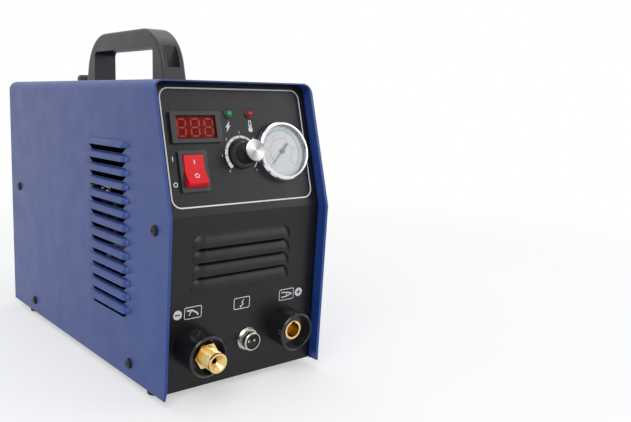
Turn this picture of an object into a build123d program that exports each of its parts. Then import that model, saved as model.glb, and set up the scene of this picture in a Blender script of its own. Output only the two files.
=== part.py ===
"""Air plasma cutter power source: a folded steel case with its controls, sockets, fan and air set.

Millimetres. +Z is up, the front faces -Y. The origin is on the floor, at the middle of the outer box.
"""
from build123d import *
import os
from math import atan2, cos, radians, sin

os.makedirs("parts", exist_ok=True)

# ---- driving dimensions ----
case_width = 155.0
case_height = 250.5        # lower edge of the cover to its top
case_depth = 380.0         # front fold to the cover's rear edge
knee_height = 144.0        # front fold above the cover's lower edge
top_setback = 26.9         # how far the top front edge stands behind the fold
bottom_setback = 10.7      # how far the lower front edge stands behind the fold
panel_recess = 12.0        # both end panels sit this far inside the cover's edges
foot_height = 6.0
cover_sheet = 1.2
chassis_sheet = 1.5
cover_corner = 9.0
side_gap = 0.3             # cover to chassis, each side
hem_width = 2.6
hem_depth = 10.0
connector_drop = 107.0     # front sockets, measured down the lower panel from the fold
socket_lower = 5.0            # control socket below the row of the other two
control_rise = 47.4        # knob and gauge, measured up the upper panel from the fold
torch_x, socket_x, earth_x = -48.0, 6.0, 44.0
knob_x, gauge_x = 2.0, 41.5
torch_tip = 41.0           # brass stub's face, out from the panel
thread_radius = 8.0        # M16 stub and 16 mm control socket barrel
regulator_reach = 420.0    # back face of the air regulator, behind the fold
screw_radius = 2.0         # M4

# ---- places worked out from them ----
floor_z = foot_height
top_z = floor_z + case_height
knee_z = floor_z + knee_height
half_cover = case_width / 2
half_inside = half_cover - cover_sheet
half_chassis = half_inside - side_gap
upper_lean = atan2(top_setback, case_height - knee_height)
lower_lean = atan2(bottom_setback, knee_height)
upper_length = (case_height - knee_height - cover_sheet - 0.5) / cos(upper_lean)
lower_length = knee_height / cos(lower_lean)
front_reach = (torch_tip * cos(lower_lean) + thread_radius * sin(lower_lean)
               - panel_recess - connector_drop * sin(lower_lean))
knee_y = (front_reach - regulator_reach) / 2
rear_y = knee_y + case_depth
rear_face_y = rear_y - panel_recess            # outside of the rear panel
rear_inner_y = rear_face_y - chassis_sheet
pan_top = floor_z + chassis_sheet

CENTRE_LOW = (Align.CENTER, Align.CENTER, Align.MIN)


# ---- small helpers ----
def block(x, y, z, place=Location()):
    """Box from three (low, high) pairs, in the frame of place."""
    size = Box(x[1] - x[0], y[1] - y[0], z[1] - z[0], align=(Align.MIN, Align.MIN, Align.MIN))
    return place * Pos(x[0], y[0], z[0]) * size


def rod(radius, low, high, place=Location()):
    """Cylinder along the local z axis of place."""
    return place * Pos(0, 0, low) * Cylinder(radius, high - low, align=CENTRE_LOW)


def pipe(outer, inner, low, high, place=Location()):
    return rod(outer, low, high, place) - rod(inner, low - 1, high + 1, place)


def hexagon(flats, low, high, place=Location()):
    sketch = RegularPolygon(flats / 2, 6, major_radius=False)
    return place * Pos(0, 0, low) * extrude(sketch, high - low)


def turned(points, place=Location()):
    """Solid of revolution about local z from (radius, height) points."""
    return place * revolve(Plane.XZ * Polygon(*points, align=None), Axis.Z)


def side_prism(points, low_x, high_x):
    """Prism across X from (y, z) points."""
    face = Plane.YZ * Polygon(*points, align=None)
    return Pos(low_x, 0, 0) * extrude(face, high_x - low_x, dir=(1, 0, 0))


def upper(x, along):
    """Frame on the upper front panel: x across, y up the sheet, z straight out."""
    base = Plane((0, knee_y + panel_recess, knee_z), x_dir=(1, 0, 0), z_dir=(0, -cos(upper_lean), sin(upper_lean)))
    return Location(base) * Pos(x, along, 0)


def lower(x, below):
    """Frame on the lower front panel, given the distance below the fold."""
    base = Plane((0, knee_y + panel_recess, knee_z), x_dir=(1, 0, 0), z_dir=(0, -cos(lower_lean), -sin(lower_lean)))
    return Location(base) * Pos(x, -below, 0)


def rear(x, z):
    """Frame on the outside of the rear panel: z points away behind, y up."""
    return Location(Plane((x, rear_face_y, z), x_dir=(-1, 0, 0), z_dir=(0, 1, 0)))


def cover_side(side, y, z):
    """Frame on the outside of a cover wall: z points outward, y up."""
    return Location(Plane((side * half_cover, y, z), x_dir=(0, side, 0), z_dir=(side, 0, 0)))


def edge_y(z):
    """Front edge of the cover at a height."""
    if z > knee_z:
        return knee_y + top_setback * (z - knee_z) / (top_z - knee_z)
    return knee_y + bottom_setback * (knee_z - z) / knee_height


def hose(points, radii, radius):
    path = FilletPolyline(*points, radius=radii)
    start = Plane(path @ 0, z_dir=path % 0)
    return sweep(start * Circle(radius), path)


# ---- pressed louvres ----
def hood(place, length, height, depth, sheet):
    """Metal and opening of a louvre on the local z = 0 face, its mouth facing local -y."""
    bend = (height ** 2 + depth ** 2) / (2 * depth)
    straight = length - 2 * height

    def dome(radius):
        core = Rot(0, 90, 0) * Cylinder(radius, straight)
        ends = [Pos(side * straight / 2, 0, 0) * Sphere(radius) for side in (-1, 1)]
        return Pos(0, 0, depth - bend) * (core + ends)

    metal = dome(bend) & block((-length, length), (0, height), (0, depth))
    opening = dome(bend - sheet) & block((-length, length), (0, height), (-sheet - 0.5, depth))
    return place * metal, place * opening


# front louvres: four hoods across the lower panel
front_louvre_x = -2.0
front_louvre_length = 97.0
front_louvre_pitch = 11.8
front_louvre_mouths = [25.6 + front_louvre_pitch * i for i in range(4)]
front_louvre_height = 10.8
front_louvre_depth = 5.0
# side louvres: one column of thirteen on each side of the cover
side_louvre_count = 13
side_louvre_pitch = 11.6
side_louvre_low = floor_z + 55.5
side_louvre_start = 71.0      # front ends, behind the fold
side_louvre_length = 85.0
side_louvre_height = 6.2
side_louvre_depth = 4.0
side_louvre_slot = 5.2        # open height below each hood


# ---- case ----
handle_front = 132.7          # behind the fold
handle_length = 186.0
handle_width = 24.0
handle_leg = 24.0
handle_height = 52.0
handle_gap = 33.4             # finger gap above the cover
handle_screw_ys = [knee_y + handle_front + handle_leg / 2 + shift
                   for shift in (0, handle_length - handle_leg)]
handle_screw_x = 6.5
M5 = 2.5

screw_spots = [(24.2, 133.8), (73.0, 12.7), (case_depth - 28.0, 133.8), (case_depth - 70.0, 12.7)]
base_screw_spots = [(x, y) for y in (knee_y + 33.0, rear_face_y - 10.0) for x in (-50.0, 0.0, 50.0)]
foot_spots = [(x, y) for x in (-66.0, 66.0) for y in (knee_y + 45.0, rear_y - 45.0)]


def side_holes(radius):
    return [rod(radius, -6, 2, cover_side(side, knee_y + back, floor_z + up))
            for side in (-1, 1) for back, up in screw_spots]


def tunnel(half, top, corner, low):
    """Full-length block with its two long upper edges rounded."""
    solid = block((-half, half), (knee_y - 5, rear_y + 5), (low, top))
    return fillet(solid.edges().filter_by(Axis.Y).group_by(Axis.Z)[-1], corner)


def inside_cover():
    """Room for the end panels, a side gap clear of the cover."""
    return tunnel(half_chassis, top_z - cover_sheet - side_gap, cover_corner - cover_sheet, floor_z)


def cover():
    profile = [(edge_y(floor_z), floor_z), (knee_y, knee_z), (edge_y(top_z), top_z),
               (rear_y, top_z), (rear_y, floor_z)]
    shell = tunnel(half_cover, top_z, cover_corner, floor_z)
    shell -= tunnel(half_inside, top_z - cover_sheet, cover_corner - cover_sheet, floor_z - 5)
    shell &= side_prism(profile, -half_cover, half_cover)

    hem_top = top_z - cover_corner / 3
    band = [(edge_y(z), z) for z in (floor_z, knee_z, hem_top)]
    band += [(y + hem_depth, z) for y, z in reversed(band)]
    mitre = Polygon((hem_width, 0), (hem_width, 7.5), (cover_sheet, 0), align=None)
    for side in (-1, 1):
        inner, outer = sorted((side * (half_cover - hem_width), side * half_inside))
        hem = side_prism(band, inner, outer)
        corner = Plane((side * half_cover, knee_y, floor_z), x_dir=(-side, 0, 0), z_dir=(0, side, 0))
        hem -= Location(corner) * extrude(mitre, 2 * hem_depth, both=True)
        shell += hem & tunnel(half_cover, top_z, cover_corner, floor_z)

    places = [cover_side(side, knee_y + side_louvre_start + side_louvre_length / 2,
                         side_louvre_low + side_louvre_pitch * row)
              for side in (-1, 1) for row in range(side_louvre_count)]
    hoods = [hood(place, side_louvre_length, side_louvre_height, side_louvre_depth, cover_sheet)
             for place in places]
    reach = side_louvre_length / 2
    slot = Polygon((3 - reach, 0.1), (reach - 3, 0.1), (reach - 11, -side_louvre_slot),
                   (11 - reach, -side_louvre_slot), align=None)
    shell += [metal for metal, opening in hoods]
    shell -= [opening for metal, opening in hoods]
    shell -= [place * extrude(slot, 3, both=True) for place in places]
    shell -= side_holes(screw_radius + 0.2)
    shell -= [rod(M5 + 0.25, top_z - 5, top_z + 5, Pos(x, y, 0))
              for x in (-handle_screw_x, handle_screw_x) for y in handle_screw_ys]
    return shell


def base_pan():
    front_y = knee_y + panel_recess + bottom_setback + chassis_sheet + 0.2
    back_y = rear_inner_y - 0.2
    pan = block((-half_chassis, half_chassis), (front_y, back_y), (floor_z, pan_top))
    for side in (-1, 1):
        wall = sorted((side * half_chassis, side * (half_chassis - chassis_sheet)))
        pan += block(wall, (front_y + 24, back_y - 24), (floor_z, floor_z + 22))
    pan -= side_holes(screw_radius)
    pan -= [rod(screw_radius + 0.2, floor_z - 1, pan_top + 1, Pos(x, y, 0)) for x, y in base_screw_spots]
    pan -= [rod(M5 - 0.5, floor_z - 1, pan_top + 1, Pos(x, y, 0)) for x, y in foot_spots]
    slot = SlotOverall(60, 6)
    pan -= [Pos(x, knee_y + 215 + 16 * i, floor_z - 1) * extrude(slot, 4) for x in (-36, 36) for i in range(6)]
    return pan


def front_panel():
    wide = (-half_chassis, half_chassis)
    top_frame, low_frame = upper(0, 0), lower(0, 0)
    sheet = (-chassis_sheet, 0)
    panel = block(wide, (0, upper_length), sheet, top_frame) + block(wide, (-lower_length, 0), sheet, low_frame)
    for side in (-1, 1):
        wall = sorted((side * half_chassis, side * (half_chassis - chassis_sheet)))
        panel += block(wall, (0, upper_length - 12), (-20, 0), top_frame)
        panel += block(wall, (-lower_length + 30, 0), (-20, 0), low_frame)
    foot_y = knee_y + panel_recess + bottom_setback
    panel += block((-half_chassis + 4, half_chassis - 4), (foot_y, foot_y + 20), (pan_top, pan_top + chassis_sheet))
    panel &= inside_cover()
    panel -= side_holes(screw_radius)
    panel -= [rod(screw_radius, floor_z, floor_z + 5, Pos(x, y, 0)) for x, y in base_screw_spots[:3]]

    hoods = [hood(lower(front_louvre_x, mouth), front_louvre_length, front_louvre_height,
                  front_louvre_depth, chassis_sheet) for mouth in front_louvre_mouths]
    panel += [metal for metal, opening in hoods]
    panel -= [opening for metal, opening in hoods]
    panel -= [rod(radius, -4, 2, place) for radius, place in (
        (led_clip_barrel, run_led_place), (led_clip_barrel, fault_led_place), (pot_thread, knob_place),
        (gauge_case_radius + 0.2, gauge_place), (collar_spigot, torch_place),
        (socket_stem, socket_place), (earth_spigot, earth_place))]
    panel -= rectangle_block(display_body, -4, 2, display_place)
    panel -= rectangle_block(switch_case, -4, 2, switch_place)
    return panel


def rectangle_block(size, low, high, place, corner=0.0):
    sketch = RectangleRounded(*size, corner) if corner else Rectangle(*size)
    return place * Pos(0, 0, low) * extrude(sketch, high - low)


fan_z = floor_z + 74.0
fan_size = 120.0
fan_depth = 25.0
fan_bore = 57.75
fan_hole = 52.5            # half of the screw pitch
fan_place = rear(0, fan_z)
fan_corners = [(x, z) for x in (-fan_hole, fan_hole) for z in (-fan_hole, fan_hole)]
gland_place = rear(-48.0, floor_z + 206.0)
gland_thread = 10.0
air_z = floor_z + 206.0
regulator_x = 26.0
port_x = -18.0             # where the air line passes the rear panel
tube_radius = 4.0
bracket_holes = [(regulator_x + dx, floor_z + 180.0) for dx in (-14.0, 14.0)]


def rear_panel():
    panel = block((-half_chassis, half_chassis), (rear_inner_y, rear_face_y), (floor_z, top_z)) & inside_cover()
    for side in (-1, 1):
        wall = sorted((side * half_chassis, side * (half_chassis - chassis_sheet)))
        panel += block(wall, (rear_face_y - 24, rear_face_y), (floor_z + 30, top_z - 12))
    panel += block((-half_chassis + 4, half_chassis - 4), (rear_face_y - 20, rear_face_y),
                   (pan_top, pan_top + chassis_sheet))
    panel -= side_holes(screw_radius)
    panel -= [rod(screw_radius, floor_z, floor_z + 5, Pos(x, y, 0)) for x, y in base_screw_spots[3:]]
    panel -= rod(fan_bore - 1.5, -4, 2, fan_place)
    panel -= [rod(screw_radius, -4, 2, rear(x, fan_z + dz)) for x, dz in fan_corners]
    panel -= rod(gland_thread, -4, 2, gland_place)
    panel -= rod(tube_radius + 0.5, -4, 2, rear(port_x, air_z))
    panel -= [rod(screw_radius, -4, 2, rear(x, z)) for x, z in bracket_holes]
    return panel


def handle():
    """Arched carrying handle with a finger gap and a pocket in each leg's outer face."""
    lean = 13.0
    outline = Polygon((0, 0), (lean, handle_height), (handle_length - lean, handle_height), (handle_length, 0),
                      align=None)
    outline = fillet(outline.vertices().group_by(Axis.Y)[-1], 46)
    gap = Polygon((handle_leg, -1), (handle_leg, handle_gap), (handle_length - handle_leg, handle_gap),
                  (handle_length - handle_leg, -1), align=None)
    gap = fillet(gap.vertices().group_by(Axis.Y)[-1], 5)
    arch = Plane.YZ * (outline - gap)
    solid = extrude(arch, handle_width / 2, both=True)
    long_edges = solid.faces().sort_by(Axis.X)[-1].outer_wire().edges() + \
        solid.faces().sort_by(Axis.X)[0].outer_wire().edges()
    rounded = [edge for edge in long_edges if edge.center().Z > 1 and not is_gap_edge(edge)]
    solid = fillet(rounded, 3.0)
    pocket = block((-6.5, 6.5), (-1, 13), (14, handle_height - 8))
    solid -= pocket
    solid -= Pos(0, handle_length, 0) * Rot(0, 0, 180) * pocket
    solid = Pos(0, knee_y + handle_front, top_z) * solid
    solid -= [rod(M5, top_z - 1, top_z + 13, Pos(x, y, 0))
              for x in (-handle_screw_x, handle_screw_x) for y in handle_screw_ys]
    return solid


def is_gap_edge(edge):
    """True for the edges round the finger gap, which keep a smaller round of their own."""
    centre = edge.center()
    inside = handle_leg - 0.5 < centre.Y < handle_length - handle_leg + 0.5
    return inside and centre.Z < handle_gap + 0.5


def pan_head(place, shank, length):
    """Pan-head screw: head outside (local z above 0), shank inside."""
    head = turned([(0, 0), (2.25 * shank, 0), (2.2 * shank, 0.6 * shank), (1.6 * shank, 1.15 * shank),
                   (0, 1.15 * shank)], place)
    cross = [block((-a, a), (-b, b), (0.5 * shank, 2 * shank), place)
             for a, b in ((1.1 * shank, 0.2 * shank), (0.2 * shank, 1.1 * shank))]
    return head + rod(shank, -length, 0, place) - cross


def case_screws():
    sides = [cover_side(side, knee_y + back, floor_z + up) for side in (-1, 1) for back, up in screw_spots]
    below = [Pos(x, y, floor_z) * Rot(180, 0, 0) for x, y in base_screw_spots]
    behind = [rear(x, z) * Pos(0, 0, chassis_sheet) for x, z in bracket_holes]
    return [pan_head(place, screw_radius, 7) for place in sides + below + behind]


def handle_screws():
    return [pan_head(Pos(x, y, top_z - cover_sheet) * Rot(180, 0, 0), M5, 12)
            for x in (-handle_screw_x, handle_screw_x) for y in handle_screw_ys]


def feet():
    def foot(x, y):
        body = turned([(M5 - 0.5, floor_z), (9, floor_z), (8, 0), (5, 0), (5, 2.5), (M5 - 0.5, 2.5)])
        return Pos(x, y, 0) * body
    return [foot(x, y) for x, y in foot_spots]


def foot_screws():
    return [rod(4.0, 1.0, 2.5, Pos(x, y, 0)) + rod(M5 - 0.5, 2.5, pan_top + 4, Pos(x, y, 0)) for x, y in foot_spots]


# ---- display ----
display_bezel_size = (46.0, 25.5)
display_body = (42.0, 22.0)
display_opening = (36.0, 19.0)
display_glass = (39.0, 20.6)
display_place = upper(-39.0, 71.0)


def display_bezel():
    frame = rectangle_block(display_bezel_size, 0, 3.0, display_place, 1.0)
    frame += rectangle_block(display_body, -12, 0, display_place)
    frame -= rectangle_block(display_opening, -1, 4, display_place, 0.8)
    return frame - rectangle_block(display_glass, -13, 1.6, display_place)


def display_window():
    return rectangle_block(display_glass, 0, 1.6, display_place)


def display_digits():
    """Three-digit module, with the board that it is soldered to."""
    return rectangle_block((37.6, 19.0), -8, 0, display_place) + rectangle_block((38.8, 20.4), -9.6, -8, display_place)


# ---- indicator lamps ----
led_radius = 2.5
led_clip_barrel = 3.3
run_led_place = upper(-6.5, 82.0)
fault_led_place = upper(14.0, 82.0)


def led(place):
    lens = rod(led_radius, -6, 2.0, place) + place * Pos(0, 0, 2.0) * Sphere(led_radius)
    return lens + [rod(0.3, -13, -5, place * Pos(x, 0, 0)) for x in (-1.27, 1.27)]


def led_clips():
    def clip(place):
        return turned([(led_radius, -6), (led_clip_barrel, -6), (led_clip_barrel, 0), (4.2, 0), (4.0, 0.9),
                       (3.2, 1.3), (led_radius, 1.3)], place)
    return [clip(run_led_place), clip(fault_led_place)]


# ---- mains rocker switch ----
switch_place = upper(-45.5, 35.6)
switch_case = (22.0, 30.2)
switch_bezel = (25.6, 33.0)
rocker_pivot = -1.0           # pivot line, out from the panel face
rocker_radius = 13.6
rocker_width = 18.0
rocker_throw = 24.0           # degrees from on to off
trunnion = 1.5


def switch_body():
    body = rectangle_block(switch_bezel, 0, 2.2, switch_place, 1.2)
    body += rectangle_block(switch_case, -16, 0, switch_place)
    pivot = switch_place * Pos(0, 0, rocker_pivot) * Rot(0, 90, 0)
    body -= pivot * Cylinder(rocker_radius + 0.3, rocker_width + 0.5)
    body -= pivot * Cylinder(trunnion + 0.05, rocker_width + 2.8)
    return body


def switch_rocker():
    """Rocker modelled level, then tipped to the on position: upper end in, lower end out."""
    crown, rise = 4.2, 3.2
    bottom = -5.0
    reach = rocker_radius + 2
    top_line = Polygon((-reach, bottom), (reach, bottom), (reach, crown + rise * reach / rocker_radius),
                       (0, crown), (-reach, crown + rise * reach / rocker_radius), align=None)
    section = top_line & Circle(rocker_radius)
    solid = extrude(Plane.YZ * section, rocker_width / 2, both=True)
    sides = solid.faces().sort_by(Axis.X)
    rims = [edge for face in (sides[0], sides[-1]) for edge in face.edges() if edge.center().Z > 2]
    solid = fillet(rims, 0.6)
    solid += Rot(0, 90, 0) * Cylinder(trunnion, rocker_width + 2.4)
    return switch_place * Pos(0, 0, rocker_pivot) * Rot(-rocker_throw / 2, 0, 0) * solid


def switch_terminals():
    return [block((x - 3.15, x + 3.15), (y - 0.4, y + 0.4), (-26, -16), switch_place)
            for x in (-5.0, 5.0) for y in (-8.0, 8.0)]


# ---- current knob and potentiometer ----
knob_place = upper(knob_x, control_rise)
pot_thread = 3.5
pot_shaft_radius = 3.0
knob_radius = 9.0
knob_top = 16.0            # top of the ribbed body
cap_radius = 9.2
cap_face = 21.8


def current_knob():
    body = turned([(0, 9), (7, 9), (7, 0.8), (12, 0.8), (12, 2.2), (10.6, 4.6), (knob_radius, 5),
                   (knob_radius, knob_top), (6.5, knob_top), (6.5, knob_top + 3), (0, knob_top + 3)], knob_place)
    body -= rod(pot_shaft_radius, 0, knob_top, knob_place)
    flute = Pos(knob_radius + 0.35, 0, 5.2) * Cylinder(0.8, knob_top - 5.2, align=CENTRE_LOW)
    return body - [knob_place * Rot(0, 0, 360 / 28 * i) * flute for i in range(28)]


def knob_cap():
    return turned([(6.5, knob_top), (cap_radius, knob_top), (cap_radius, cap_face - 0.6),
                   (cap_radius - 0.6, cap_face), (0, cap_face), (0, knob_top + 3), (6.5, knob_top + 3)], knob_place)


def pot_body():
    case = rod(8.5, -12, -chassis_sheet, knob_place) + rod(pot_thread, -chassis_sheet, 6, knob_place)
    case += [block((x - 1, x + 1), (-14, -8), (-11, -10), knob_place) for x in (-5, 0, 5)]
    return case - rod(pot_shaft_radius + 0.05, -10, 7, knob_place)


def pot_shaft():
    return rod(pot_shaft_radius, -9.5, knob_top, knob_place)


# ---- pressure gauge ----
gauge_place = upper(gauge_x, control_rise + 1.0)
gauge_case_radius = 24.2
gauge_inner_radius = 23.2
lens_low, lens_high = 5.2, 7.2


def gauge_case():
    can = rod(gauge_case_radius, -24, lens_low, gauge_place) - rod(gauge_inner_radius, -23, 6, gauge_place)
    return can - rod(5, -25, -22, gauge_place)


def gauge_rim():
    return turned([(gauge_case_radius, 0), (24.9, 0), (25.8, 2.0), (26.2, 4.2), (26.0, 6.0), (25.2, 7.6),
                   (24.2, 8.4), (23.2, 8.6), (22.4, 8.2), (22.0, lens_high), (gauge_case_radius, lens_high)],
                  gauge_place)


def gauge_lens():
    return rod(gauge_case_radius, lens_low, lens_high, gauge_place)


def gauge_dial():
    return pipe(gauge_inner_radius, 1.0, 1.2, 2.0, gauge_place)


def gauge_pointer():
    """Needle resting at the lower left, on its arbor."""
    blade = Polygon((-9.5, -1.0), (-4, -1.0), (-3, -0.5), (15, -0.2), (15, 0.2), (-3, 0.5), (-4, 1.0), (-9.5, 1.0),
                    align=None)
    needle = Pos(0, 0, 2.9) * extrude(blade, 0.6) + rod(2.1, 2.6, 4.3) + rod(0.6, -6, 2.6)
    return gauge_place * Rot(0, 0, 225) * needle


def gauge_movement():
    """Socket block, threaded stem and C-shaped pressure tube."""
    works = block((-7, 7), (-7, 7), (-23, -4)) + rod(5, -37, -23)
    works -= rod(0.65, -7, 0)
    works -= rod(1.5, -38, -12)
    spring = Pos(0, 0, -9) * (Torus(15, 2) - block((-20, 0), (-20, 0), (-5, 5)))
    works += spring + block((0, 16), (-2, 2), (-11, -7)) - rod(0.65, -7, 0)
    return gauge_place * works


# ---- torch connection ----
torch_place = lower(torch_x, connector_drop)
collar_radius = 16.8
collar_spigot = 12.0
collar_face = 27.8
torch_seat = 19.0          # recess floor in the collar, under the hexagon
torch_hexagon = 6.0        # its height
torch_relief = 3.4         # plain neck between hexagon and thread
adapter_radius = 6.5


def torch_collar():
    return turned([(adapter_radius, -8), (collar_spigot, -8), (collar_spigot, 0), (collar_radius, 0),
                   (collar_radius, collar_face - 1.0), (collar_radius - 1.0, collar_face), (14.6, collar_face),
                   (14.2, torch_seat), (adapter_radius, torch_seat)], torch_place)


def threaded_profile(radius, low, high, pitch, depth):
    """(radius, height) points of a stepped thread form, from low to high."""
    count = int((high - low) / pitch)
    points = []
    for turn in range(count):
        foot = low + turn * pitch
        points += [(radius, foot), (radius, foot + 0.3 * pitch), (radius - depth, foot + 0.65 * pitch)]
    return points + [(radius, low + count * pitch)]


def torch_adapter():
    neck = thread_radius - 1.0
    hexagon_top = torch_seat + torch_hexagon
    thread_low = hexagon_top + torch_relief
    thread = threaded_profile(thread_radius, thread_low, torch_tip - 0.8, 1.5, 0.7)
    body = turned([(2, -30), (adapter_radius, -30), (adapter_radius, torch_seat), (neck, torch_seat),
                   (neck, thread_low)] + thread + [(thread_radius, torch_tip), (6.4, torch_tip), (2, torch_tip - 5)])
    return torch_place * (body + hexagon(19, torch_seat, hexagon_top) - rod(2, -31, torch_tip))


# ---- torch trigger socket ----
socket_place = lower(socket_x, connector_drop + socket_lower)
socket_bore = 6.8
socket_stem = 7.3
socket_nut_top = 3.2
socket_thread_start = socket_nut_top + 0.4
socket_thread_end = 8.9
socket_face = 9.4


def control_socket_shell():
    return turned([(socket_bore, -6), (10, -6), (10, -chassis_sheet), (socket_stem, -chassis_sheet),
                   (socket_stem, socket_thread_start), (thread_radius, socket_thread_start),
                   (thread_radius, socket_thread_end), (thread_radius - 0.5, socket_face), (socket_bore, socket_face)],
                  socket_place)


def control_socket_nut():
    nut = turned([(socket_stem, 0), (10.2, 0), (10.2, 1.6), (9.0, socket_nut_top), (socket_stem, socket_nut_top)])
    slots = [block((-1, 1), (8.4, 11), (1.4, 4), Rot(0, 0, turn)) for turn in (0, 90, 180, 270)]
    return socket_place * (nut - slots)


def control_socket_insert():
    insert = rod(socket_bore, -10, 3)
    return socket_place * (insert - [rod(1.0, -11, 7, Pos(x, 0, 0)) for x in (-2.8, 2.8)])


def control_socket_pins():
    return [socket_place * Pos(x, 0, 0) * rod(1.0, -14, 7.4) for x in (-2.8, 2.8)]


# ---- earth lead socket ----
earth_place = lower(earth_x, connector_drop)
earth_face = 21.0
earth_floor = 14.0
earth_spigot = 13.0
sleeve_radius = 8.3
earth_bore = 6.5


def earth_socket_body():
    return turned([(sleeve_radius, -12), (earth_spigot, -12), (earth_spigot, 0), (16.5, 0), (16.5, earth_face - 1),
                   (15.7, earth_face), (14.6, earth_face), (14.2, earth_floor), (sleeve_radius, earth_floor)],
                  earth_place)


def earth_socket_sleeve():
    sleeve = rod(sleeve_radius, -16, earth_floor + 1.2) - rod(earth_bore, -10, earth_floor + 2)
    sleeve -= block((-2, 2), (0, 7.6), (2, earth_floor + 2))
    return earth_place * (sleeve - rod(4, -17, -9))


def earth_socket_bolt():
    return earth_place * (hexagon(16, -22, -16) + rod(4, -16, -11))


# ---- fan ----
def fan_frame():
    base = -chassis_sheet
    frame = rectangle_block((fan_size, fan_size), base - fan_depth, base, fan_place, 5)
    frame -= rod(fan_bore, base - fan_depth - 1, base + 1, fan_place)
    spider = rod(19, base - fan_depth, base - fan_depth + 6, fan_place)
    for angle in (45, 135):
        spider += fan_place * Rot(0, 0, angle) * block((-fan_bore - 1, fan_bore + 1), (-2.5, 2.5),
                                                       (base - fan_depth, base - fan_depth + 4))
    frame += spider
    frame -= rod(1.55, base - fan_depth + 1.5, base, fan_place)
    return frame - [rod(screw_radius, base - fan_depth - 1, base + 1, fan_place * Pos(x, z, 0))
                    for x, z in fan_corners]


def fan_rotor():
    back = -chassis_sheet - fan_depth + 6.5
    front = -chassis_sheet - 2.0
    hub = rod(18.5, back, front) + rod(1.5, back - 4, back)
    blade = Pos(37, 0, (back + front) / 2) * Rot(38, 0, 0) * Box(42, 27, 1.6)
    ring = pipe(56.5, 10, back, front)
    for index in range(7):
        hub += Rot(0, 0, 360 / 7 * index) * (blade & ring)
    return fan_place * hub


def fan_guard():
    wire = 1.1
    guard = Rot(0, 0, 45) * rod(wire, -74, 74, Rot(0, 90, 0))
    guard += Rot(0, 0, -45) * rod(wire, -74, 74, Rot(0, 90, 0))
    guard += [Torus(radius, wire) for radius in (14, 25, 36, 47, 57)]
    loops = [Pos(x, z, 0) * Torus(3.8, wire) for x, z in fan_corners]
    guard = guard + loops - [rod(2.6, -3, 3, Pos(x, z, 0)) for x, z in fan_corners]
    return fan_place * Pos(0, 0, wire) * guard


def fan_screws():
    return [pan_head(rear(x, fan_z + dz) * Pos(0, 0, 2.2), screw_radius, 30) for x, dz in fan_corners]


# ---- mains cable gland ----
def mains_gland():
    body = hexagon(24, 0, 5) + rod(gland_thread, -9, 0) + rod(9.5, 5, 12)
    return gland_place * (body - rod(5.5, -10, 13))


def gland_cap():
    cap = hexagon(24, 5.2, 17) + turned([(0, 17), (11.5, 17), (10, 22), (7.5, 24.5), (0, 24.5)])
    cap -= rod(9.5, 5, 12)
    return gland_place * (cap - rod(5.0, 11, 25))


# ---- air filter regulator ----
regulator_half = 20.0
regulator_y = knee_y + regulator_reach - regulator_half
regulator_place = Pos(regulator_x, regulator_y, air_z)
body_low, body_high = -15.0, 15.0
bonnet_top = 30.0


def regulator_body():
    body = block((-18, 18), (-18, regulator_half), (body_low, body_high), regulator_place)
    body = fillet(body.edges().filter_by(Axis.Z), 5)
    body += rod(15, body_high, body_high + 8, regulator_place) + rod(12, body_high + 8, bonnet_top, regulator_place)
    body += rod(17, body_low - 6, body_low, regulator_place)
    body -= rod(4.1, bonnet_top - 12, bonnet_top + 1, regulator_place)
    body -= rod(15, body_low - 7, body_low - 1, regulator_place)
    side_port = regulator_place * Rot(0, 90, 0)
    return body - [rod(6, 10, 19, side_port), rod(tube_radius, -19, -10, side_port)]


def regulator_spindle():
    return rod(4.0, bonnet_top - 11.5, bonnet_top + 2, regulator_place) + \
        hexagon(6, bonnet_top + 2, bonnet_top + 18, regulator_place)


def regulator_knob():
    base = bonnet_top + 0.6
    knob = turned([(0, base), (15.5, base), (16, base + 1), (15.5, base + 22), (13.5, base + 24.5), (0, base + 24.5)])
    knob -= rod(5.0, base - 1, base + 5)
    knob -= hexagon(6.1, base, base + 21)
    groove = Pos(16.4, 0, base + 2) * Cylinder(1.4, 30, align=CENTRE_LOW)
    knob -= [Rot(0, 0, 360 / 16 * i) * groove for i in range(16)]
    return regulator_place * knob


def filter_bowl():
    top, bottom = body_low - 1, body_low - 48
    outer = [(0, bottom), (7, bottom), (12, bottom + 4), (14.9, bottom + 12), (14.9, top), (13, top)]
    inner = [(13, bottom + 13), (10, bottom + 6), (6, bottom + 2), (3.2, bottom + 2), (3.2, bottom)]
    return turned(outer[1:] + inner, regulator_place)


def bowl_drain():
    bottom = body_low - 48
    return turned([(0, bottom + 5), (3.1, bottom + 5), (3.1, bottom - 0.4), (5.5, bottom - 0.4), (5.5, bottom - 6),
                   (4.8, bottom - 7), (2.6, bottom - 7), (2.2, bottom - 11), (0, bottom - 11)], regulator_place)


def regulator_bracket():
    face = rear_face_y
    shelf = (air_z + body_high, air_z + body_high + 2)
    arm = block((regulator_x - 22, regulator_x + 22), (face, regulator_y + 17), shelf)
    arm += block((regulator_x - 22, regulator_x + 22), (face, face + chassis_sheet), (floor_z + 172, shelf[1]))
    arm -= rod(15, body_high - 1, body_high + 5, regulator_place)
    return arm - [rod(screw_radius, -2, 4, rear(x, z)) for x, z in bracket_holes]


def air_inlet():
    """Hose nipple screwed into the regulator: hexagon, then barbs."""
    side = regulator_place * Rot(0, 90, 0)
    barbs = [(2.5, 10), (6, 10), (6, 18), (4, 18), (4, 25)]
    for index in range(4):
        start = 25 + 4.5 * index
        barbs += [(5.0, start), (5.0, start + 1.2), (4.0, start + 4.5)]
    body = turned(barbs + [(2.5, 43)]) + hexagon(14, 18, 24) - rod(2.5, 9, 44)
    return side * body


def air_tube():
    """Regulator outlet round through the rear panel to the solenoid valve."""
    return hose([(regulator_x - 10, regulator_y, air_z), (port_x, regulator_y, air_z),
                 (port_x, rear_inner_y, air_z)], [12], tube_radius)


valve_half = 13.0


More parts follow.
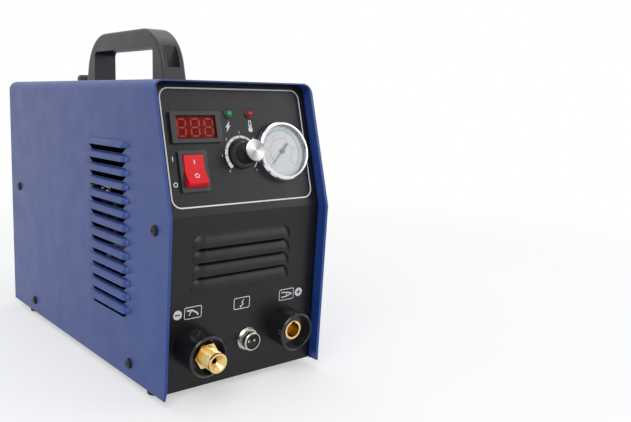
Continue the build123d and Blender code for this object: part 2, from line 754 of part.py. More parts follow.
def solenoid_valve():
    valve = block((port_x - 15, port_x + 15), (rear_inner_y - 30, rear_inner_y), (air_z - valve_half, air_z + valve_half))
    coil = block((port_x - 13, port_x + 13), (rear_inner_y - 28, rear_inner_y - 2), (air_z - 51, air_z - valve_half))
    return valve + coil


def torch_tube():
    """Valve to the back of the torch adapter, clear of the boards."""
    start = (port_x, rear_inner_y - 30, air_z)
    end = torch_place * Pos(0, 0, -30)
    tail = torch_place * Pos(0, 0, -60)
    last, bend = end.position, tail.position
    return hose([start, (port_x, knee_y + 180, air_z), (torch_x, bend.Y, air_z - 30), tuple(bend), tuple(last)],
                [40, 28, 20], tube_radius)


# ---- power electronics ----
sink_back = (knee_y + 205, knee_y + 325)
sink_top = pan_top + 72
board_z = sink_top + 18


def heat_sinks():
    """Two finned sinks standing on the pan; each carries two posts for the board."""
    def sink(left):
        solid = block((left, left + 50), sink_back, (sink_top - 6, sink_top))
        solid += [block((left + 6.8 * i, left + 6.8 * i + 2), sink_back, (pan_top, sink_top - 6)) for i in range(8)]
        return solid + [rod(3.5, sink_top, board_z, Pos(left + 25, y, 0)) for y in (sink_back[0] + 4, sink_back[1] - 4)]
    return [sink(-62.0), sink(12.0)]


def power_transistors():
    return [block((x, x + 16), (y, y + 21), (sink_top, sink_top + 5))
            for x in (-57, -33, 17, 41) for y in (knee_y + 215, knee_y + 250, knee_y + 285)]


def main_board():
    return block((-68, 68), (knee_y + 190, knee_y + 332), (board_z, board_z + 1.6))


def capacitors():
    return [rod(15, board_z + 1.6, board_z + 47, Pos(x, knee_y + y, 0)) for x in (-36, 0, 36) for y in (215, 250)]


transformer_place = Pos(0, knee_y + 160, pan_top + 30)


def transformer_core():
    core = block((-40, 40), (-22, 22), (-30, 30))
    return transformer_place * (core - [block(x, (-23, 23), (-18, 18)) for x in ((-28, -10), (10, 28))])


def transformer_winding():
    coil = fillet(block((-27.5, 27.5), (-38, 38), (-17.5, 17.5)).edges().filter_by(Axis.Z), 12)
    return transformer_place * (coil - block((-10, 10), (-22, 22), (-18, 18)))


def output_choke():
    return Pos(36, knee_y + 88, pan_top + 11) * Torus(22, 11)


def write(name, shapes):
    """One STEP file per node; a list becomes a group of separate solids."""
    solids = shapes if isinstance(shapes, list) else [shapes]
    solids = [solid for shape in solids for solid in shape.solids()]
    node = solids[0] if len(solids) == 1 else Compound(children=solids)
    node.label = name
    export_step(node, f"parts/{name}.step")


makers = [cover, front_panel, rear_panel, base_pan, handle, handle_screws, feet, foot_screws, case_screws,
          display_bezel, display_window, display_digits, led_clips,
          switch_body, switch_rocker, switch_terminals,
          current_knob, knob_cap, pot_body, pot_shaft,
          gauge_case, gauge_rim, gauge_lens, gauge_dial, gauge_pointer, gauge_movement,
          torch_collar, torch_adapter,
          control_socket_shell, control_socket_nut, control_socket_insert, control_socket_pins,
          earth_socket_body, earth_socket_sleeve, earth_socket_bolt,
          fan_frame, fan_rotor, fan_guard, fan_screws, mains_gland, gland_cap,
          regulator_body, regulator_spindle, regulator_knob, filter_bowl, bowl_drain, regulator_bracket,
          air_inlet, air_tube, solenoid_valve, torch_tube,
          heat_sinks, power_transistors, main_board, capacitors, transformer_core, transformer_winding, output_choke]

for maker in makers:
    write(maker.__name__, maker())
write("run_led", led(run_led_place))
write("fault_led", led(fault_led_place))
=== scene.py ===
"""Looks of the air plasma cutter power source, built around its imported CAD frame."""
import math

import bpy
import bmesh
from mathutils import Matrix, Vector


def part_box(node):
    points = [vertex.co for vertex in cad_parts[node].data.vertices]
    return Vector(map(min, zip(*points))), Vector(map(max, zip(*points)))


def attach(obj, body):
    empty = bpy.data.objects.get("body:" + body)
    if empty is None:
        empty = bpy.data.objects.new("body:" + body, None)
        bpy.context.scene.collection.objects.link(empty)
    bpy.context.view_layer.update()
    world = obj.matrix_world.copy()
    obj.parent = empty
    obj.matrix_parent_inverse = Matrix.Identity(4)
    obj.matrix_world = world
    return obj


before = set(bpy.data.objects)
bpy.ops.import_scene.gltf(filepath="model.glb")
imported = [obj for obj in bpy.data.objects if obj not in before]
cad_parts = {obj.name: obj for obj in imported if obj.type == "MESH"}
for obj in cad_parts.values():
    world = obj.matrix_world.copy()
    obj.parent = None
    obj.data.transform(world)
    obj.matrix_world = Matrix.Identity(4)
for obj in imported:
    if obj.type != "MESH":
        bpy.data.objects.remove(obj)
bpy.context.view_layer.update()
scene = bpy.context.scene
MM = 0.001

# ---- the two front sheets, worked out from the cover (millimetres) ----
KNEE_RISE = 144.0          # fold above the cover's lower edge
CASE_RISE = 250.5
TOP_SETBACK = 26.9
BOTTOM_SETBACK = 10.7
RECESS = 12.0
cover_low, cover_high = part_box("cover")
knee = Vector((0, cover_low[1] + RECESS * MM, cover_low[2] + KNEE_RISE * MM))
UPPER_LEAN = math.atan2(TOP_SETBACK, CASE_RISE - KNEE_RISE)
LOWER_LEAN = math.atan2(BOTTOM_SETBACK, KNEE_RISE)


def sheet_frame(out, x, along):
    """Frame on a front sheet: x across, y up the sheet, z straight out, in millimetres."""
    across = Vector((1, 0, 0))
    up = out.cross(across)
    place = Matrix((across, up, out)).transposed().to_4x4()
    place.translation = knee + (across * x + up * along) * MM
    return place


def upper(x, along):
    return sheet_frame(Vector((0, -math.cos(UPPER_LEAN), math.sin(UPPER_LEAN))), x, along)


def lower(x, below):
    return sheet_frame(Vector((0, -math.cos(LOWER_LEAN), -math.sin(LOWER_LEAN))), x, -below)


DISPLAY = upper(-39.0, 71.0)
SWITCH = upper(-45.5, 35.6)
KNOB = upper(2.0, 47.4)
GAUGE = upper(41.5, 48.4)
ICON_ROW = 79.2            # pictograms, below the fold
SCALE_START, SCALE_SWEEP = 225, 270     # degrees: lower left, then clockwise to lower right
DIAL_FACE = 2.0            # front of the gauge's dial, out from the panel
ROCKER_PIVOT = -1.0         # the rocker's own profile: two flats that rise from a low waist
ROCKER_CROWN, ROCKER_RISE, ROCKER_RADIUS = 4.2, 3.2, 13.6
ROCKER_TILT = math.radians(12)


# ---- materials ----
class Shader:
    """A node material with short names for the nodes used here."""

    def __init__(self, name):
        self.material = bpy.data.materials.new(name)
        self.material.use_nodes = True
        self.tree = self.material.node_tree
        self.bsdf = self.tree.nodes["Principled BSDF"]
        self.point = self.add("ShaderNodeTexCoord").outputs["Object"]

    def add(self, kind, **values):
        node = self.tree.nodes.new(kind)
        for key, value in values.items():
            setattr(node, key, value)
        return node

    def link(self, a, b):
        self.tree.links.new(a, b)

    def set(self, **values):
        for key, value in values.items():
            self.bsdf.inputs[key.replace("_", " ")].default_value = value

    def noise(self, scale, detail=3.0, stretch=(1, 1, 1)):
        node = self.add("ShaderNodeTexNoise")
        node.inputs["Scale"].default_value = scale
        node.inputs["Detail"].default_value = detail
        mapping = self.add("ShaderNodeMapping")
        mapping.inputs["Scale"].default_value = stretch
        self.link(self.point, mapping.inputs["Vector"])
        self.link(mapping.outputs["Vector"], node.inputs["Vector"])
        return node.outputs["Fac"]

    def ramp(self, value, stops):
        node = self.add("ShaderNodeValToRGB")
        elements = node.color_ramp.elements
        while len(elements) < len(stops):
            elements.new(0.5)
        for element, (place, colour) in zip(elements, stops):
            element.position = place
            element.color = (*colour, 1)
        self.link(value, node.inputs["Fac"])
        return node.outputs["Color"]

    def span(self, value, low, high, source=(0.3, 0.7)):
        node = self.add("ShaderNodeMapRange")
        node.inputs["From Min"].default_value, node.inputs["From Max"].default_value = source
        node.inputs["To Min"].default_value, node.inputs["To Max"].default_value = low, high
        self.link(value, node.inputs["Value"])
        return node.outputs["Result"]

    def square(self, value):
        node = self.add("ShaderNodeMath", operation="MULTIPLY")
        self.link(value, node.inputs[0])
        self.link(value, node.inputs[1])
        return node.outputs[0]

    def bump(self, height, strength, distance):
        node = self.add("ShaderNodeBump")
        node.inputs["Strength"].default_value = strength
        node.inputs["Distance"].default_value = distance
        self.link(height, node.inputs["Height"])
        self.link(node.outputs["Normal"], self.bsdf.inputs["Normal"])


def mixed(colour, spread):
    """The same colour a little darker and a little lighter."""
    return [tuple(c * (1 - spread) for c in colour), tuple(min(1, c * (1 + spread)) for c in colour)]


def surface(name, colour, rough, metal=0.0, spread=0.1, patch=18.0, grain=900.0, grain_bump=0.1,
            grain_depth=0.0001, stretch=(1, 1, 1), **sockets):
    """Finish with drifting colour and roughness and a fine surface grain."""
    shader = Shader(name)
    shader.set(Metallic=metal, **sockets)
    low, high = mixed(colour, spread)
    shader.link(shader.ramp(shader.noise(patch), [(0.3, low), (0.7, high)]), shader.bsdf.inputs["Base Color"])
    drift = shader.span(shader.noise(patch * 3), rough * 0.88, rough * 1.12)
    shader.link(drift, shader.bsdf.inputs["Roughness"])
    shader.bump(shader.noise(grain, 2, stretch), grain_bump, grain_depth)
    return shader.material


def spun(name, colour, rough, place, aniso=0.85):
    """Metal turned about the z axis of place, with fine rings and two bright wedges of painted reflection in
    the colour.
    """
    shader = Shader(name)
    shader.set(Metallic=1.0, Anisotropic=aniso)
    arm = shader.add("ShaderNodeVectorMath", operation="SUBTRACT")
    shader.link(shader.point, arm.inputs[0])
    arm.inputs[1].default_value = place.translation
    turn = shader.add("ShaderNodeVectorMath", operation="CROSS_PRODUCT")
    turn.inputs[0].default_value = place.col[2].xyz
    shader.link(arm.outputs[0], turn.inputs[1])
    unit = shader.add("ShaderNodeVectorMath", operation="NORMALIZE")
    shader.link(turn.outputs[0], unit.inputs[0])
    shader.link(unit.outputs[0], shader.bsdf.inputs["Tangent"])
    size = shader.add("ShaderNodeVectorMath", operation="LENGTH")
    shader.link(turn.outputs[0], size.inputs[0])
    rings = shader.add("ShaderNodeTexNoise", noise_dimensions="1D")
    rings.inputs["Scale"].default_value = 6000
    shader.link(size.outputs["Value"], rings.inputs["W"])
    low, high = mixed(colour, 0.1)
    ringed = shader.ramp(rings.outputs["Fac"], [(0.3, low), (0.7, high)])
    # painted reflection: the colour brightens in two opposite directions round the axis, standing in for lamp
    # glints on the turned rings
    along = shader.add("ShaderNodeVectorMath", operation="DOT_PRODUCT")
    along.inputs[1].default_value = (place.col[0].xyz + place.col[1].xyz).normalized()
    shader.link(unit.outputs[0], along.inputs[0])
    painted_glint_fans = shader.ramp(shader.square(along.outputs["Value"]),
                       [(0.0, (0.35, 0.35, 0.35)), (0.45, (0.6, 0.6, 0.6)), (1.0, (1, 1, 1))])
    shaded = shader.add("ShaderNodeMix", data_type="RGBA", blend_type="MULTIPLY")
    shaded.inputs["Factor"].default_value = 1.0
    shader.link(ringed, shaded.inputs["A"])
    shader.link(painted_glint_fans, shaded.inputs["B"])
    shader.link(shaded.outputs["Result"], shader.bsdf.inputs["Base Color"])
    shader.link(shader.span(rings.outputs["Fac"], rough * 0.8, rough * 1.2), shader.bsdf.inputs["Roughness"])
    return shader.material


def powder_blue():
    """Powder coat with a fine orange peel, a little paler towards the top of the case as a painted sheen."""
    shader = Shader("powder_blue")
    shader.set(Specular_IOR_Level=0.5)
    parts = shader.add("ShaderNodeSeparateXYZ")
    shader.link(shader.point, parts.inputs["Vector"])
    # painted sheen: the blue pales towards the top of the case, standing in for the reflection of the bright
    # surroundings there
    height = shader.span(parts.outputs["Z"], 0.0, 1.0, (cover_low[2], cover_high[2]))
    blue_with_painted_sheen = shader.ramp(height, [(0.0, (0.010, 0.050, 0.25)), (1.0, (0.016, 0.048, 0.215))])
    drift = shader.add("ShaderNodeMix", data_type="RGBA", blend_type="MULTIPLY")
    drift.inputs["Factor"].default_value = 1.0
    shader.link(blue_with_painted_sheen, drift.inputs["A"])
    clouds = shader.ramp(shader.noise(14), [(0.3, (0.93, 0.93, 0.95)), (0.7, (1, 1, 1))])
    shader.link(clouds, drift.inputs["B"])
    shader.link(drift.outputs["Result"], shader.bsdf.inputs["Base Color"])
    shader.link(shader.span(shader.noise(40), 0.36, 0.44), shader.bsdf.inputs["Roughness"])
    shader.bump(shader.noise(650, 2), 0.12, 0.0002)
    return shader.material


def clear(name, colour, rough, ior, weight=1.0):
    """Clear or tinted moulding with faint surface haze."""
    shader = Shader(name)
    shader.set(Transmission_Weight=weight, IOR=ior)
    low, high = mixed(colour, 0.04)
    shader.link(shader.ramp(shader.noise(60), [(0.3, low), (0.7, high)]), shader.bsdf.inputs["Base Color"])
    shader.link(shader.span(shader.noise(120), rough * 0.6, rough * 1.4), shader.bsdf.inputs["Roughness"])
    return shader.material


def glass_pane():
    """Thin flat lens: lets most light through and keeps a soft shine."""
    shader = Shader("gauge_glass")
    shader.set(Base_Color=(1, 1, 1, 1))
    shader.link(shader.span(shader.noise(50), 0.02, 0.05), shader.bsdf.inputs["Roughness"])
    through = shader.add("ShaderNodeBsdfTransparent")
    fresnel = shader.add("ShaderNodeFresnel")
    fresnel.inputs["IOR"].default_value = 1.45
    gloss = shader.add("ShaderNodeBsdfGlossy")
    gloss.inputs["Roughness"].default_value = 0.03
    mix = shader.add("ShaderNodeMixShader")
    shader.link(fresnel.outputs[0], mix.inputs["Fac"])
    shader.link(through.outputs[0], mix.inputs[1])
    shader.link(gloss.outputs[0], mix.inputs[2])
    shader.link(mix.outputs[0], shader.tree.nodes["Material Output"].inputs["Surface"])
    return shader.material


def winding(name, colour, place, pitch):
    """Wire laid side by side around local z of place."""
    shader = Shader(name)
    mapping = shader.add("ShaderNodeMapping", vector_type="TEXTURE")
    mapping.inputs["Location"].default_value = place.translation
    mapping.inputs["Rotation"].default_value = place.to_euler()
    shader.link(shader.point, mapping.inputs["Vector"])
    wave = shader.add("ShaderNodeTexWave", bands_direction="Z")
    wave.inputs["Scale"].default_value = 0.314 / (pitch * MM)
    wave.inputs["Distortion"].default_value = 0.4
    shader.link(mapping.outputs["Vector"], wave.inputs["Vector"])
    low, high = mixed(colour, 0.35)
    shader.link(shader.ramp(wave.outputs["Fac"], [(0.1, low), (0.6, high)]), shader.bsdf.inputs["Base Color"])
    shader.set(Metallic=0.6, Roughness=0.35)
    shader.bump(wave.outputs["Fac"], 0.6, 0.0004)
    return shader.material


blue = powder_blue()
panel_black = surface("panel_black", (0.009, 0.009, 0.010), 0.34, grain=1100, grain_bump=0.16,
                      grain_depth=0.0002, spread=0.18, Specular_IOR_Level=0.32)
handle_grey = surface("handle_plastic", (0.030, 0.027, 0.030), 0.38, grain=1500, grain_bump=0.14,
                      Specular_IOR_Level=0.4)
satin_plastic = surface("satin_plastic", (0.016, 0.016, 0.017), 0.36, grain=1300, grain_bump=0.1)
gloss_plastic = surface("gloss_black_plastic", (0.010, 0.010, 0.011), 0.16, grain=300, grain_bump=0.03)
bezel_plastic = surface("bezel_plastic", (0.016, 0.015, 0.016), 0.4, grain=1500, grain_bump=0.12)
rubber = surface("foot_rubber", (0.022, 0.021, 0.020), 0.75, spread=0.25, grain=700, grain_bump=0.3)
black_steel = surface("black_oxide", (0.030, 0.026, 0.022), 0.34, 0.85, spread=0.3, patch=200, grain=1500)
zinc = surface("zinc_plate", (0.55, 0.56, 0.58), 0.34, 1.0, spread=0.14, patch=120, grain=500)
brass = surface("machined_brass", (0.84, 0.62, 0.27), 0.24, 1.0, spread=0.12, patch=90, grain=2200,
                grain_bump=0.12, stretch=(1, 0.15, 1))
nickel = surface("bright_nickel", (0.62, 0.60, 0.56), 0.22, 1.0, spread=0.12, patch=150, grain=2200)
chrome = surface("chrome", (0.80, 0.81, 0.83), 0.15, 1.0, spread=0.06, patch=60, grain=400, grain_bump=0.02)
aluminium = surface("mill_aluminium", (0.62, 0.62, 0.64), 0.4, 1.0, grain=900, stretch=(1, 0.05, 1))
red_rocker = surface("red_rocker", (0.66, 0.004, 0.012), 0.16, spread=0.08, grain=500, grain_bump=0.03,
                     Specular_IOR_Level=0.35)
dial_white = surface("dial_white", (0.90, 0.93, 0.95), 0.5, spread=0.02, grain=800, grain_bump=0.02)
ink_white = surface("white_ink", (0.70, 0.71, 0.72), 0.55, spread=0.06, patch=160, grain=1500)
ink_black = surface("black_ink", (0.02, 0.02, 0.022), 0.5, spread=0.1, patch=160, grain=1500)
ink_teal = surface("teal_ink", (0.16, 0.45, 0.50), 0.5, spread=0.08, patch=160, grain=1500)
ink_pink = surface("pink_ink", (0.70, 0.28, 0.36), 0.5, spread=0.08, patch=160, grain=1500)
segment_red = surface("segment_red", (0.40, 0.13, 0.14), 0.5, spread=0.06, patch=200, grain=900)
module_face = surface("digit_module", (0.15, 0.022, 0.024), 0.5, spread=0.1, patch=100, grain=900)
red_window = clear("red_window", (0.86, 0.36, 0.30), 0.06, 1.12)
LENS = {"patch": 300, "grain": 500, "grain_bump": 0.02, "Transmission_Weight": 0.35, "IOR": 1.45}
green_lens = surface("green_lens", (0.03, 0.42, 0.13), 0.12, **LENS)
red_lens = surface("red_lens", (0.66, 0.03, 0.02), 0.12, **LENS)
bowl = clear("clear_bowl", (0.86, 0.92, 0.94), 0.04, 1.3)
casting = surface("grey_casting", (0.30, 0.31, 0.33), 0.42, 0.3, spread=0.1, grain=500, grain_bump=0.35)
hose_blue = surface("blue_hose", (0.03, 0.15, 0.50), 0.25, spread=0.08, grain=300, grain_bump=0.05)
board = surface("solder_mask", (0.02, 0.14, 0.05), 0.32, spread=0.2, patch=260, grain=600, grain_bump=0.2)
sleeve = surface("capacitor_sleeve", (0.012, 0.013, 0.03), 0.35, grain=400)
epoxy = surface("epoxy_case", (0.018, 0.018, 0.018), 0.5, grain=1500, grain_bump=0.3)
ferrite = surface("ferrite", (0.05, 0.05, 0.052), 0.5, 0.1, spread=0.25, grain=1500, grain_bump=0.4)
tinned = surface("tinned_brass", (0.66, 0.62, 0.50), 0.3, 1.0, spread=0.15, patch=200)
coil = winding("copper_winding", (0.72, 0.30, 0.10), Matrix.Translation((0, 0, 0)), 1.1)
choke = winding("choke_winding", (0.55, 0.20, 0.07), Matrix.Rotation(math.pi / 2, 4, "X"), 1.4)
cap_metal = spun("spun_cap", (0.58, 0.58, 0.58), 0.3, KNOB)

NODE_LOOKS = {
    "cover": blue, "front_panel": panel_black, "rear_panel": panel_black, "base_pan": panel_black,
    "handle": handle_grey, "handle_screws": black_steel, "case_screws": black_steel,
    "foot_screws": zinc, "fan_screws": black_steel, "feet": rubber,
    "display_bezel": bezel_plastic, "display_window": red_window, "display_digits": module_face,
    "run_led": green_lens, "fault_led": red_lens, "led_clips": satin_plastic,
    "switch_body": satin_plastic, "switch_rocker": red_rocker, "switch_terminals": tinned,
    "current_knob": satin_plastic, "knob_cap": cap_metal, "pot_body": zinc, "pot_shaft": aluminium,
    "gauge_case": zinc, "gauge_rim": chrome, "gauge_lens": glass_pane(), "gauge_dial": dial_white,
    "gauge_pointer": ink_black, "gauge_movement": brass,
    "torch_adapter": brass, "torch_collar": gloss_plastic, "torch_tube": hose_blue,
    "control_socket_shell": nickel, "control_socket_nut": nickel, "control_socket_insert": satin_plastic,
    "control_socket_pins": nickel, "earth_socket_body": gloss_plastic, "earth_socket_sleeve": brass,
    "earth_socket_bolt": zinc, "fan_frame": satin_plastic, "fan_rotor": satin_plastic, "fan_guard": zinc,
    "mains_gland": satin_plastic, "gland_cap": satin_plastic, "regulator_bracket": zinc,
    "regulator_body": casting, "regulator_spindle": zinc, "regulator_knob": satin_plastic,
    "filter_bowl": bowl, "bowl_drain": brass, "air_inlet": brass, "air_tube": hose_blue,
    "solenoid_valve": satin_plastic, "heat_sinks": aluminium, "power_transistors": epoxy,
    "main_board": board, "capacitors": sleeve, "transformer_core": ferrite, "transformer_winding": coil,
    "output_choke": choke,
}
for name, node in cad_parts.items():
    if node.type != "MESH":
        continue
    node.data.materials.clear()
    node.data.materials.append(NODE_LOOKS[name])


# ---- printed marks: thin ink solids on the panels, in millimetres ----
INK_LIFT = 0.03
INK_THICK = 0.06


class Ink:
    """Collects flat outlines in the frame of place and makes one piece of them."""

    def __init__(self, place, height=0.0):
        self.place = place
        self.height = height
        self.shapes = []

    def area(self, points):
        self.shapes.append([tuple(point) for point in points])

    def line(self, points, width, closed=False):
        """Ribbon of even width along a path, one quad for each run."""
        points = [Vector(point) for point in points]
        count = len(points)
        sides = []
        for i, point in enumerate(points):
            before = points[i - 1] if i or closed else None
            after = points[(i + 1) % count] if i < count - 1 or closed else None
            first = (point - before).normalized() if before is not None else None
            second = (after - point).normalized() if after is not None else None
            way = ((first or second) + (second or first)).normalized()
            normal = Vector((-way.y, way.x))
            edge = Vector((-(first or second).y, (first or second).x))
            reach = width / 2 / max(normal.dot(edge), 0.35)
            sides.append((point + normal * reach, point - normal * reach))
        for i in range(count if closed else count - 1):
            (a, b), (c, d) = sides[i], sides[(i + 1) % count]
            self.area((b, d, c, a))

    def arc(self, centre, radius, start, end, width, steps=24):
        self.line([polar(centre, radius, start + (end - start) * i / steps) for i in range(steps + 1)], width)

    def ring(self, centre, radius, width, steps=36):
        self.line([polar(centre, radius, 360 * i / steps) for i in range(steps)], width, closed=True)

    def disc(self, centre, radius, steps=28):
        self.area([polar(centre, radius, 360 * i / steps) for i in range(steps)])

    def frame(self, centre, width, height, line, corner, steps=5):
        """Rounded rectangle outline."""
        x, y = width / 2 - corner, height / 2 - corner
        points = []
        for quarter, (sx, sy) in enumerate(((1, 1), (-1, 1), (-1, -1), (1, -1))):
            middle = (centre[0] + sx * x, centre[1] + sy * y)
            points += [polar(middle, corner, 90 * quarter + 90 * i / steps) for i in range(steps + 1)]
        self.line(points, line, closed=True)

    def text(self, words, centre, size):
        """Plain numerals from the built-in font."""
        curve = bpy.data.curves.new("words", "FONT")
        curve.body = words
        curve.size = size
        curve.align_x, curve.align_y = "CENTER", "CENTER"
        curve.resolution_u = 3
        holder = bpy.data.objects.new("words", curve)
        scene.collection.objects.link(holder)
        bpy.context.view_layer.update()
        mesh = bpy.data.meshes.new_from_object(holder.evaluated_get(bpy.context.evaluated_depsgraph_get()))
        for face in mesh.polygons:
            corners = [mesh.vertices[i].co for i in face.vertices]
            self.area([(centre[0] + corner.x, centre[1] + corner.y) for corner in corners])
        bpy.data.objects.remove(holder)
        bpy.data.meshes.remove(mesh)

    def piece(self, name, material, slot, body="case", thick=INK_THICK):
        mesh = bmesh.new()
        for shape in self.shapes:
            corners = [mesh.verts.new((x * MM, y * MM, self.height * MM)) for x, y in shape]
            mesh.faces.new(corners)
        bmesh.ops.remove_doubles(mesh, verts=mesh.verts, dist=0.002 * MM)
        bmesh.ops.dissolve_degenerate(mesh, dist=0.001 * MM, edges=mesh.edges)
        for face in mesh.faces:
            face.normal_update()
            if face.normal.z < 0:
                face.normal_flip()
        raised = bmesh.ops.extrude_face_region(mesh, geom=mesh.faces[:])
        top = [item for item in raised["geom"] if isinstance(item, bmesh.types.BMVert)]
        bmesh.ops.translate(mesh, verts=top, vec=(0, 0, thick * MM))
        bmesh.ops.recalc_face_normals(mesh, faces=mesh.faces)
        mesh.transform(self.place)
        data = bpy.data.meshes.new(name)
        mesh.to_mesh(data)
        mesh.free()
        data.materials.append(material)
        thing = bpy.data.objects.new(name, data)
        scene.collection.objects.link(thing)
        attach(thing, body)
        return thing


def polar(centre, radius, degrees):
    angle = math.radians(degrees)
    return (centre[0] + radius * math.cos(angle), centre[1] + radius * math.sin(angle))


def panel_frame():
    """White line round the controls, with rounded corners."""
    ink = Ink(upper(0, 0), INK_LIFT)
    ink.frame((1.2, 55.2), 137.0, 96.0, 1.1, 8.0)
    ink.piece("panel_frame_line", ink_white, "dial_white")


def lamp_icons():
    """Bolt under the green lamp and thermometer under the red one."""
    ink = Ink(upper(0, 0), INK_LIFT)
    x, y = -8.0, 71.5
    ink.area([(x + 1.9, y + 4.8), (x - 2.4, y - 0.8), (x + 0.4, y - 0.8)])
    ink.area([(x - 1.9, y - 4.8), (x + 2.4, y + 0.8), (x - 0.4, y + 0.8)])
    x = 14.0
    ink.line([polar((x, y + 3.6), 1.1, angle) for angle in range(180, -1, -20)], 0.7)
    for side in (-1.1, 1.1):
        ink.line([(x + side, y + 3.7), (x + side, y - 1.8)], 0.7)
    ink.line([(x, y + 1.2), (x, y - 3.0)], 0.9)
    ink.disc((x, y - 3.0), 2.1)
    ink.piece("lamp_icons", ink_white, "dial_white")


def switch_marks():
    ink = Ink(upper(0, 0), INK_LIFT)
    ink.line([(-62.5, 44.4), (-62.5, 48.0)], 0.8)
    ink.ring((-62.5, 25.8), 1.6, 0.7)
    ink.piece("switch_marks", ink_white, "dial_white")


def knob_scale():
    """Arc blocks that thin clockwise, with plain numerals at every second one."""
    ink = Ink(KNOB, INK_LIFT)
    blocks, outer, gap = 12, 16.2, 0.9
    sweep = SCALE_SWEEP / blocks
    for block in range(blocks):
        start = SCALE_START - sweep * block
        width = 3.0 - 2.0 * block / blocks
        ink.arc((0, 0), outer - width / 2, start - gap, start - sweep + gap, width, 6)
    for number in range(blocks // 2 + 1):
        ink.text(str(number), polar((0, 0), 18.9, SCALE_START - 2 * sweep * number), 3.0)
    ink.piece("knob_scale", ink_white, "dial_white")


def rocker_marks():
    """Line on the rocker's upper face and ring on its lower one; both ride with it."""
    level = SWITCH @ Matrix.Translation((0, 0, ROCKER_PIVOT * MM)) @ Matrix.Rotation(-ROCKER_TILT, 4, "X")
    along = 6.0
    height = ROCKER_CROWN + ROCKER_RISE * along / ROCKER_RADIUS
    slope = math.atan2(ROCKER_RISE, ROCKER_RADIUS)
    for name, side in (("rocker_line", 1), ("rocker_ring", -1)):
        face = level @ Matrix.Translation((0, side * along * MM, height * MM))
        ink = Ink(face @ Matrix.Rotation(side * slope, 4, "X"))
        if side > 0:
            ink.line([(0, -1.6), (0, 1.8)], 0.8)
        else:
            ink.ring((0, 0.6), 1.7, 0.7)
        ink.piece(name, ink_white, "dial_white", "power_rocker")


def knob_mark():
    """White index line on the knob's skirt."""
    ink = Ink(KNOB, 4.62)
    ink.line([(0, 9.3), (0, 10.5)], 0.7)
    ink.piece("knob_index", ink_white, "dial_white", "knob_set", 0.1)


def gauge_scale():
    """Pressure dial: outer scale 0 to 10 in teal, inner scale 0 to 15 in pink."""
    teal, pink = Ink(GAUGE, DIAL_FACE), Ink(GAUGE, DIAL_FACE)
    teal.arc((0, 0), 18.9, SCALE_START, SCALE_START - SCALE_SWEEP, 0.8, 72)
    for tick in range(51):
        angle = SCALE_START - SCALE_SWEEP * tick / 50
        inner, width = (16.4, 0.42) if tick % 5 == 0 else (17.5, 0.24)
        teal.line([polar((0, 0), inner, angle), polar((0, 0), 18.4, angle)], width)
    for number in range(0, 11, 2):
        teal.text(str(number), polar((0, 0), 14.3, SCALE_START - SCALE_SWEEP * number / 10), 4.0)
    pink.arc((0, 0), 11.6, SCALE_START, SCALE_START - SCALE_SWEEP, 0.5, 60)
    for tick in range(16):
        angle = SCALE_START - SCALE_SWEEP * tick / 15
        pink.line([polar((0, 0), 10.2, angle), polar((0, 0), 11.4, angle)], 0.3)
    for number in range(0, 16, 5):
        pink.text(str(number), polar((0, 0), 8.3, SCALE_START - SCALE_SWEEP * number / 15), 2.2)
    teal.piece("gauge_scale_teal", ink_teal, "dial_white")
    pink.piece("gauge_scale_pink", ink_pink, "dial_white")


def socket_icons():
    """Pictograms over the sockets: torch, control plug and earth clamp, with minus and plus discs."""
    ink = Ink(lower(0, 0), INK_LIFT)
    row = -ICON_ROW
    for centre in (-47.7, -1.0, 46.0):
        ink.frame((centre, row), 15.4, 9.6, 0.6, 1.2)
    ink.line([(-53.4, row + 2.0), (-48.4, row + 2.0), (-44.2, row - 0.6), (-42.8, row - 2.6)], 1.3)
    ink.line([(-49.6, row + 1.4), (-51.2, row - 2.2)], 0.9)
    ink.line([(0.8, row + 2.9), (-1.0, row + 0.6), (0.4, row - 1.0), (-1.6, row - 3.0)], 0.8)
    ink.disc((-2.0, row - 2.9), 0.9)
    ink.line([(40.4, row + 2.2), (46.0, row + 1.8), (51.4, row + 0.3)], 0.9)
    ink.line([(40.4, row - 2.2), (46.0, row - 1.8), (51.4, row - 0.3)], 0.9)
    ink.line([(46.2, row + 1.6), (46.2, row - 1.6)], 0.7)
    signs = Ink(lower(0, 0), INK_LIFT + INK_THICK)
    minus_x, plus_x, arm, stroke = -61.6, 59.4, 2.3, 1.1
    for centre in (minus_x, plus_x):
        ink.disc((centre, row), 3.9)
        signs.line([(centre - arm, row), (centre + arm, row)], stroke)
    for side in (-1, 1):
        signs.line([(plus_x, row + side * stroke / 2), (plus_x, row + side * arm)], stroke)
    ink.piece("socket_icons", ink_white, "dial_white")
    signs.piece("socket_signs", ink_black, "black_paint")


def digits():
    """Three seven-segment figures behind the red window."""
    ink = Ink(DISPLAY, 0.02)
    wide, tall, lean, bar = 7.4, 14.0, 0.04, 1.2
    for centre in (-12.4, 0.0, 12.4):
        def put(points):
            ink.line([(centre + x + lean * y, y) for x, y in points], bar)
        for y in (-tall / 2, 0, tall / 2):
            put([(-wide / 2 + 1.0, y), (wide / 2 - 1.0, y)])
        for x in (-wide / 2, wide / 2):
            put([(x, 1.0), (x, tall / 2 - 1.0)])
            put([(x, -1.0), (x, -tall / 2 + 1.0)])
    ink.piece("display_segments", segment_red, "digit_module", thick=0.25)


panel_frame()
lamp_icons()
switch_marks()
rocker_marks()
knob_scale()
knob_mark()
gauge_scale()
socket_icons()
digits()


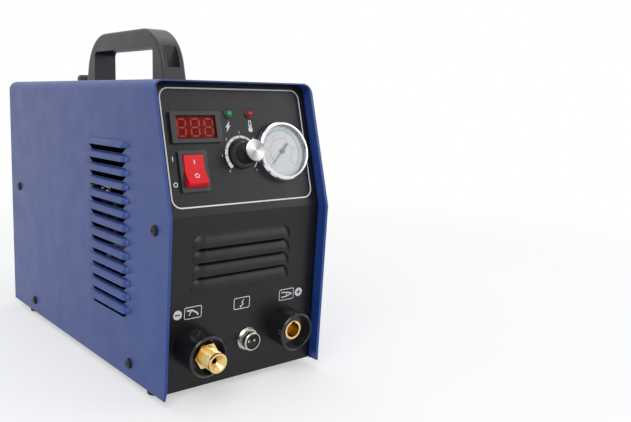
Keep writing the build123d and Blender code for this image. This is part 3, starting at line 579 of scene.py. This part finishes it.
# ---- camera, floor, light ----
def set_camera():
    data = bpy.data.cameras.new("camera")
    data.lens = 41.35
    data.sensor_width = 36.0
    data.shift_y = -0.0523
    data.clip_start = 0.01
    camera = bpy.data.objects.new("camera", data)
    yaw, pitch, roll = math.radians(39.31), math.radians(6.31), math.radians(0.99)
    forward = Vector((math.sin(yaw) * math.cos(pitch), math.cos(yaw) * math.cos(pitch), -math.sin(pitch)))
    right = forward.cross(Vector((0, 0, 1))).normalized()
    up = right.cross(forward)
    level = Matrix((right, up, -forward)).transposed().to_4x4()
    place = (-0.3321, cover_low[1] - 0.4819, 0.2441)
    camera.matrix_world = Matrix.Translation(place) @ level @ Matrix.Rotation(roll, 4, "Z")
    scene.collection.objects.link(camera)
    scene.camera = camera


def seen_white(tree):
    """1 for the rays that show the white backdrop: camera, transmission and glossy."""
    path = tree.nodes.new("ShaderNodeLightPath")
    shown = None
    for ray in ("Is Camera Ray", "Is Transmission Ray", "Is Glossy Ray"):
        either = tree.nodes.new("ShaderNodeMath")
        either.operation = "MAXIMUM"
        either.inputs[0].default_value = 0.0
        if shown is not None:
            tree.links.new(shown, either.inputs[0])
        tree.links.new(path.outputs[ray], either.inputs[1])
        shown = either.outputs[0]
    return shown


def make_floor():
    """White floor that keeps the shadow near the object and fades to plain white."""
    bpy.ops.mesh.primitive_plane_add(size=12)
    floor = bpy.context.object
    floor.name = "floor"
    shader = Shader("floor_white")
    shader.link(shader.ramp(shader.noise(3), [(0.3, (0.90, 0.90, 0.90)), (0.7, (0.93, 0.93, 0.93))]),
                shader.bsdf.inputs["Base Color"])
    shader.set(Roughness=0.9)
    glow = shader.add("ShaderNodeEmission")
    glow.inputs["Color"].default_value = (1, 1, 1, 1)
    away = shader.add("ShaderNodeVectorMath", operation="LENGTH")
    shader.link(shader.point, away.inputs[0])
    share = shader.add("ShaderNodeMath", operation="MULTIPLY")
    shader.link(shader.span(away.outputs["Value"], 0.5, 1.0, (0.3, 1.1)), share.inputs[1])
    shader.link(seen_white(shader.tree), share.inputs[0])
    mix = shader.add("ShaderNodeMixShader")
    shader.link(share.outputs[0], mix.inputs["Fac"])
    shader.link(shader.bsdf.outputs[0], mix.inputs[1])
    shader.link(glow.outputs[0], mix.inputs[2])
    shader.link(mix.outputs[0], shader.tree.nodes["Material Output"].inputs["Surface"])
    floor.data.materials.append(shader.material)


def make_world():
    """White to the camera and in reflections, a plain half-level fill otherwise."""
    world = bpy.data.worlds.new("studio")
    scene.world = world
    world.use_nodes = True
    nodes, links = world.node_tree.nodes, world.node_tree.links
    fill = nodes["Background"]
    fill.inputs["Color"].default_value = (0.93, 0.96, 1.0, 1)
    fill.inputs["Strength"].default_value = 0.5
    white = nodes.new("ShaderNodeBackground")
    white.inputs["Color"].default_value = (1, 1, 1, 1)
    white.inputs["Strength"].default_value = 1.0
    mix = nodes.new("ShaderNodeMixShader")
    links.new(seen_white(world.node_tree), mix.inputs["Fac"])
    links.new(fill.outputs[0], mix.inputs[1])
    links.new(white.outputs[0], mix.inputs[2])
    links.new(mix.outputs[0], nodes["World Output"].inputs["Surface"])


def softbox(name, place, size, power):
    """Square area lamp aimed at the middle of the case."""
    target = Vector((0, 0, 0.12))
    data = bpy.data.lights.new(name, "AREA")
    data.size = size
    data.energy = power
    lamp = bpy.data.objects.new(name, data)
    lamp.location = place
    lamp.rotation_euler = (target - Vector(place)).to_track_quat("-Z", "Y").to_euler()
    scene.collection.objects.link(lamp)


set_camera()
make_floor()
make_world()
softbox("key", (-0.9, -1.1, 1.5), 1.2, 16)
softbox("fill", (1.2, -1.2, 0.8), 1.0, 5)
softbox("top", (0.2, 0.3, 1.8), 1.2, 9)
scene.view_settings.view_transform = "Standard"
